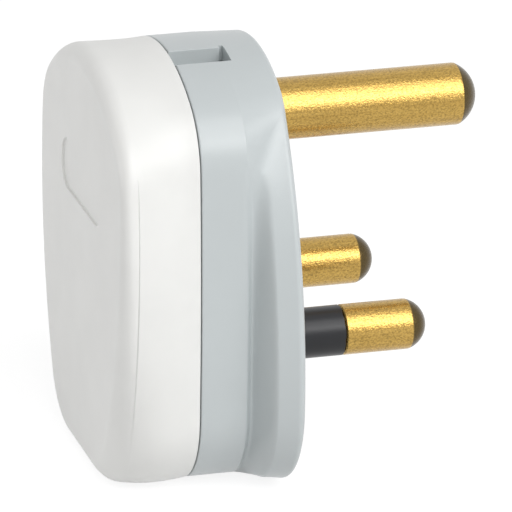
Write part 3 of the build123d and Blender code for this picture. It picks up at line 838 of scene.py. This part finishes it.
def finish_named(slot):
    """Finish for a material slot of the record, made once."""
    name = slot + "_finish"
    if name in bpy.data.materials:
        return bpy.data.materials[name]
    shades = bpy.context.scene.plug_finish
    grain = shades.grain
    # Colour, gloss, grains in a metre, depth of the grain, shine
    plastics = {
        "cover_plastic": (shades.cover, 0.4, grain, 0.00001),
        "base_plastic": (shades.base, 0.3, grain / 2, 0.000006),
        "sleeve_plastic": (shades.sleeve, 0.33, grain / 2, 0.00002, 0.36),
        "inner_plastic": (shades.inner, 0.55, grain / 3, 0.00002),
    }
    if slot in plastics:
        return moulded_plastic(name, *plastics[slot])
    if slot == "pin_brass":
        return turned_brass(name, shades.brass, shades.pit_and_painted_tip_colour)
    if slot == "washer_fibre":
        return pressed_fibre(name, shades.fibre)
    if slot == "insert_brass":
        return plated_metal(name, shades.brass, 0.34)
    return plated_metal(name, shades.steel, 0.28)


def seen_directly(node):
    """1 for rays from the camera, from gloss and through glass, and 0 for light on the plug."""
    rays = node("ShaderNodeLightPath").outputs
    total = rays["Is Camera Ray"]
    for other in ("Is Glossy Ray", "Is Transmission Ray"):
        total = node("ShaderNodeMath", {0: total, 1: rays[other]}, operation="MAXIMUM").outputs[0]
    return total


def floor_finish(shade):
    """Pale matt floor that shows white and keeps a soft shadow."""
    finish = bpy.data.materials.new("floor_finish")
    finish.use_nodes = True
    finish.node_tree.nodes.clear()
    node = node_maker(finish.node_tree)
    matt = node("ShaderNodeBsdfDiffuse", {"Color": (*shade, 1)}).outputs[0]
    faint = node("ShaderNodeBsdfDiffuse", {"Color": (FLOOR_SHADE,) * 3 + (1,)}).outputs[0]
    glow = node("ShaderNodeEmission", {"Strength": FLOOR_GLOW}).outputs[0]
    seen = node("ShaderNodeAddShader", {0: faint, 1: glow}).outputs[0]
    either = node("ShaderNodeMixShader", {0: seen_directly(node), 1: matt, 2: seen}).outputs[0]
    node("ShaderNodeOutputMaterial", {"Surface": either})
    return finish


def surroundings(scene, ambient):
    """White all round to the eye and to gloss, with a plain even light on the plug."""
    world = bpy.data.worlds.new("surroundings")
    world.use_nodes = True
    tree = world.node_tree
    node = node_maker(tree)
    inputs = {"Value": seen_directly(node), "To Min": ambient, "To Max": 1}
    level = node("ShaderNodeMapRange", inputs).outputs["Result"]
    glow = tree.nodes["Background"]
    glow.inputs["Color"].default_value = (1, 1, 1, 1)
    tree.links.new(level, glow.inputs["Strength"])
    scene.world = world


def aim_camera(scene, stage):
    """Camera as in the photo: turned round the plug, rolled and panned."""
    turn, lift, roll = stage.azimuth, stage.elevation, stage.roll
    back = Vector(
        (math.sin(turn) * math.cos(lift), -math.cos(turn) * math.cos(lift), math.sin(lift))
    )
    right = Vector((0, 0, 1)).cross(back).normalized()
    up = back.cross(right)
    right, up = (
        math.cos(roll) * right + math.sin(roll) * up,
        math.cos(roll) * up - math.sin(roll) * right,
    )
    spot = Vector((0, 0, stage.target)) + back * stage.distance
    spot += right * stage.pan[0] + up * stage.pan[1]
    camera = add_object("camera", bpy.data.cameras.new("camera"))
    camera.data.lens = stage.focal_length
    camera.data.sensor_width = SENSOR_WIDTH
    camera.data.clip_start, camera.data.clip_end = NEAR_CLIP, FAR_CLIP
    facing = Matrix((right, up, back)).transposed().to_4x4()
    camera.matrix_world = Matrix.Translation(spot) @ facing
    scene.camera = camera


def hang_lamps(middle):
    """Soft lamps that face the plug."""
    for name, place, width, height, power in LAMPS:
        lamp = bpy.data.lights.new(name, "AREA")
        lamp.shape = "RECTANGLE"
        lamp.size, lamp.size_y = width, height
        lamp.energy = power
        holder = add_object(name, lamp)
        holder.location = place
        holder.rotation_euler = (middle - holder.location).to_track_quat("-Z", "Y").to_euler()


def lay_floor(height, shade):
    """Plain square floor under the plug."""
    mesh = bpy.data.meshes.new("floor")
    mesh.from_pydata([(x, y, height) for x, y in FLOOR_CORNERS], [], [(0, 1, 2, 3)])
    mesh.materials.append(floor_finish(shade))
    floor = add_object("floor", mesh)


class PLUG_OT_cover(bpy.types.Operator):
    """Moulded cover with its label recess, cord inlet half, screw boss and fins"""

    bl_idname = "plug.cover"
    bl_label = "Cover"

    def execute(self, context):
        sizes, pins = context.scene.plug_body, context.scene.plug_pins
        bm = bmesh.new()
        rings = [
            ring(bm, with_crease(sizes, outline(sizes, section, inset), depth), depth)
            for depth, section, inset in cover_profile(sizes)
        ]
        skin(bm, rings)
        cap(bm, rings[0])
        recess = []
        for grow, share in LABEL_WALL:
            spots = rounded_rectangle(
                sizes.label_z,
                sizes.label_width + 2 * grow,
                sizes.label_height + 2 * grow,
                sizes.label_corner + grow,
            )
            recess.append(ring(bm, spots, sizes.back_depth - share * sizes.label_sink))
        skin(bm, recess)
        cap(bm, rings[-1], recess[0])
        bm.faces.new(recess[-1])
        shell = make_piece(bm, "cover_shell", "cover_plastic", "cover")
        cut(shell, inlet_cutter(sizes))
        bm = bmesh.new()
        floor = sizes.back_depth - sizes.wall_thickness + OVERLAP
        seam = seam_depth(sizes)
        ledge = seam + INSERT_DEPTH
        tube(bm, 0, pins.screw_z, BOSS_RADIUS, INSERT_RADIUS, seam, ledge)
        tube(bm, 0, pins.screw_z, BOSS_RADIUS, BOSS_BORE, ledge, floor)
        for side in (-1, 1):
            block(bm, (side * FIN_X, floor - FIN_SIZE[1] / 2, 0), FIN_SIZE)
        make_piece(bm, "cover_boss_and_fins", "cover_plastic", "cover")
        return {"FINISHED"}


class PLUG_OT_base(bpy.types.Operator):
    """Moulded base with its flange, finger grip, slot, pin holes and inner bosses"""

    bl_idname = "plug.base"
    bl_label = "Base"

    def execute(self, context):
        sizes, pins = context.scene.plug_body, context.scene.plug_pins
        bm = bmesh.new()
        rings = [ring(bm, points[:, ::2], points[:, 1]) for points in base_rings(sizes)]
        skin(bm, rings)
        plate, seam, seat = sizes.face_plate, seam_depth(sizes), pins.screw_seat
        live = pins.live_radius + pins.root_step + FIT
        earth = pins.earth_radius + pins.root_step + FIT
        bore, shank = pins.screw_head + FIT, pins.screw_shank + FIT
        pocket = seam - WASHER_DEPTH
        pillar = [(bore, seat), (shank, seat), (shank, pocket), (WASHER_RADIUS, pocket)]
        pillar += [(WASHER_RADIUS, seam), (BOSS_RADIUS, seam), (BOSS_RADIUS, plate)]
        front, inside = [rings[0]], [rings[-1]]
        for x, z, radius, onward in (
            (pins.spread, 0, live, [(live, plate)]),
            (-pins.spread, 0, live, [(live, plate)]),
            (0, pins.earth_rise, earth, [(earth, plate)]),
            (0, pins.screw_z, bore, pillar),
        ):
            walls = [(radius + grow, depth) for grow, depth in HOLE_MOUTH] + onward
            rows = turned(bm, walls, x, z, HOLE_STEPS)
            skin(bm, rows)
            front.append(rows[0])
            inside.append(rows[-1])
        cap(bm, *front)
        cap(bm, *inside)
        shell = make_piece(bm, "base_shell", "base_plastic", "base")
        for cutter in (slot_cutter, relief_cutter, inlet_cutter):
            cut(shell, cutter(sizes))
        bm = bmesh.new()
        start, rim = plate - OVERLAP, sizes.base_rim
        top = plate + pins.collar
        for side in (-1, 1):
            tube(bm, side * CLAMP_X, CLAMP_Z, CLAMP_BOSS, CLAMP_BORE, start, CLAMP_END)
            tube(bm, side * RETAINER_X, RETAINER_Z, RETAINER_BOSS, RETAINER_BORE, start, top)
        middle = (0, (start + REST_END) / 2, CLAMP_Z)
        block(bm, middle, (REST_WIDTH, REST_END - start, REST_HEIGHT))
        block(bm, (0, RIB_DEPTH, CLAMP_Z), (REST_WIDTH, RIB_THICK, RIB_HEIGHT))
        # Floor of the slot, and the stop under the tongue behind it
        floor = sizes.top - sizes.slot_sink
        middle = (sizes.slot_x, (start + rim) / 2, floor - FLOOR_SINK)
        block(bm, middle, (sizes.slot_width + FLOOR_WIDER, rim - start, FLOOR_THICK))
        middle = (sizes.slot_x, rim + STOP_BEHIND, floor - STOP_SINK)
        block(bm, middle, (sizes.slot_width + STOP_WIDER, STOP_DEPTH, STOP_HEIGHT))
        make_piece(bm, "base_bosses", "base_plastic", "base")
        return {"FINISHED"}


class PLUG_OT_pins(bpy.types.Operator):
    """Turned brass pins with domed tips, square collars and drilled tails"""

    bl_idname = "plug.pins"
    bl_label = "Pins"

    def execute(self, context):
        sizes, pins = context.scene.plug_body, context.scene.plug_pins
        neck = pins.live_radius - pins.sleeve_wall
        live = (pins.live_radius, pins.live_reach, pins.live_tail, neck, pins.sleeve_reach)
        root = pins.earth_radius + pins.root_step
        earth = (pins.earth_radius, pins.earth_reach, pins.earth_tail, root, 0)
        places = {
            "line_pin": (pins.spread, 0, *live),
            "neutral_pin": (-pins.spread, 0, *live),
            "earth_pin": (0, pins.earth_rise, *earth),
        }
        for name, (x, z, radius, reach, tail, neck, shoulder) in places.items():
            ball = (radius**2 + pins.dome**2) / (2 * pins.dome)
            rim = math.asin(radius / ball)
            edge = reach - pins.dome
            profile = [(tail - CHAMFER, pins.tail_end), (tail, pins.tail_end - CHAMFER)]
            profile += [(tail, sizes.face_plate), (neck, sizes.face_plate), (neck, -shoulder)]
            profile += [(radius - SMALL_CHAMFER, -shoulder), (radius, -shoulder - SMALL_CHAMFER)]
            profile += [(radius - inset, behind - edge) for inset, behind in DOME_EDGE]
            profile += [
                (ball * math.sin(turn), ball - reach - ball * math.cos(turn))
                for turn in np.linspace(rim * DOME_START, DOME_END, DOME_STEPS)
            ]
            bm = bmesh.new()
            solid(bm, turned(bm, profile, x, z, LATHE_STEPS))
            piece = make_piece(bm, "turned_" + name, "pin_brass", name)
            for cutter in wire_hole_cutters(x, z, tail, pins.tail_end):
                cut(piece, cutter)
            bm = bmesh.new()
            wide = 2 * (tail + pins.collar_lip)
            block(bm, (x, sizes.face_plate + pins.collar / 2, z), (wide, pins.collar, wide))
            extend(piece, bm)
        return {"FINISHED"}


class PLUG_OT_sleeves(bpy.types.Operator):
    """Black insulating sleeves with a softly uneven end"""

    bl_idname = "plug.sleeves"
    bl_label = "Sleeves"

    def execute(self, context):
        sizes, pins = context.scene.plug_body, context.scene.plug_pins
        inner, outer = pins.live_radius - pins.sleeve_wall, pins.live_radius
        root, end = outer + pins.root_step, pins.sleeve_reach
        loop = [(inner, sizes.face_plate), (root, sizes.face_plate), (root, 0), (outer, 0)]
        loop += [(outer - inset, behind - end) for inset, behind in SLEEVE_EDGE]
        loop += [(inner + SMALL_CHAMFER, -end), (inner, -end)]
        for name, x in (("line_sleeve", pins.spread), ("neutral_sleeve", -pins.spread)):
            bm = bmesh.new()
            rings = turned(bm, loop, x, 0, LATHE_STEPS)
            skin(bm, rings + rings[:1])
            for row in rings[SLEEVE_END_ROW:]:
                for step, vert in enumerate(row):
                    turn = 2 * math.pi * step / LATHE_STEPS
                    wave = sum(
                        strength * math.sin(number * turn + phase)
                        for strength, number, phase in SLEEVE_WAVES
                    )
                    vert.co.y -= SLEEVE_WAVE * (SLEEVE_WAVE_MEAN + wave)
            make_piece(bm, "moulded_" + name, "sleeve_plastic", name)
        return {"FINISHED"}


class PLUG_OT_cover_screw(bpy.types.Operator):
    """Slotted screw in the middle of the pin face"""

    bl_idname = "plug.cover_screw"
    bl_label = "Cover screw"

    def execute(self, context):
        pins = context.scene.plug_pins
        head, shank = pins.screw_head, pins.screw_shank
        front, seat = pins.screw_front, pins.screw_seat
        profile = [(shank - CHAMFER, pins.screw_tip), (shank, pins.screw_tip - CHAMFER)]
        profile += [(shank, seat), (head, seat), (head, front + CHAMFER)]
        profile += [(head - inset, front + behind) for inset, behind in quarter_round(CHAMFER)[1:]]
        bm = bmesh.new()
        solid(bm, turned(bm, profile, 0, pins.screw_z, LATHE_STEPS))
        piece = make_piece(bm, "slotted_cover_screw", "screw_steel", "cover_screw")
        bm = bmesh.new()
        block(bm, (0, front, pins.screw_z), (3 * head, 2 * pins.screw_slot, pins.screw_slot))
        cut(piece, bm)
        return {"FINISHED"}


class PLUG_OT_inner_pieces(bpy.types.Operator):
    """Finishes of the CAD solids, of which those inside keep their own shape"""

    bl_idname = "plug.inner_pieces"
    bl_label = "Inner pieces"

    def execute(self, context):
        for part in frame["record"]["subparts"]:
            node = frame["nodes"][part["node"]]
            node.data.materials.clear()
            node.data.materials.append(finish_named(part["material_slot"]))
        return {"FINISHED"}


class PLUG_OT_stage(bpy.types.Operator):
    """Camera, lamps, pale floor and white surroundings"""

    bl_idname = "plug.stage"
    bl_label = "Stage"

    def execute(self, context):
        scene = context.scene
        stage = scene.plug_stage
        aim_camera(scene, stage)
        hang_lamps(Vector((0, 0, stage.target)))
        lay_floor(scene.plug_body.bottom, stage.floor)
        surroundings(scene, stage.ambient)
        scene.view_settings.view_transform = "Standard"
        return {"FINISHED"}


class PLUG_PT_sidebar(bpy.types.Panel):
    """Lists the pieces of the plug and their sizes"""

    bl_idname = "PLUG_PT_sidebar"
    bl_label = "Round pin plug"
    bl_space_type = "VIEW_3D"
    bl_region_type = "UI"
    bl_category = "Plug"

    def draw(self, context):
        for operator in OPERATORS:
            self.layout.operator(operator.bl_idname)
        for group, name in GROUPS:
            column = self.layout.column(align=True)
            column.label(text=group.__doc__)
            for key in group.__annotations__:
                column.prop(getattr(context.scene, name), key)


GROUPS = (
    (BodySizes, "plug_body"),
    (PinSizes, "plug_pins"),
    (FinishColours, "plug_finish"),
    (StageSettings, "plug_stage"),
)
OPERATORS = (
    PLUG_OT_cover,
    PLUG_OT_base,
    PLUG_OT_pins,
    PLUG_OT_sleeves,
    PLUG_OT_cover_screw,
    PLUG_OT_inner_pieces,
    PLUG_OT_stage,
)


def register():
    for group, name in GROUPS:
        bpy.utils.register_class(group)
        setattr(bpy.types.Scene, name, PointerProperty(type=group))
    for operator in OPERATORS:
        bpy.utils.register_class(operator)
    bpy.utils.register_class(PLUG_PT_sidebar)


def unregister():
    bpy.utils.unregister_class(PLUG_PT_sidebar)
    for operator in reversed(OPERATORS):
        bpy.utils.unregister_class(operator)
    for group, name in reversed(GROUPS):
        delattr(bpy.types.Scene, name)
        bpy.utils.unregister_class(group)


def main():
    register()
    for operator in OPERATORS:
        family, step = operator.bl_idname.split(".")
        getattr(getattr(bpy.ops, family), step)()


if __name__ == "__main__":
    main()
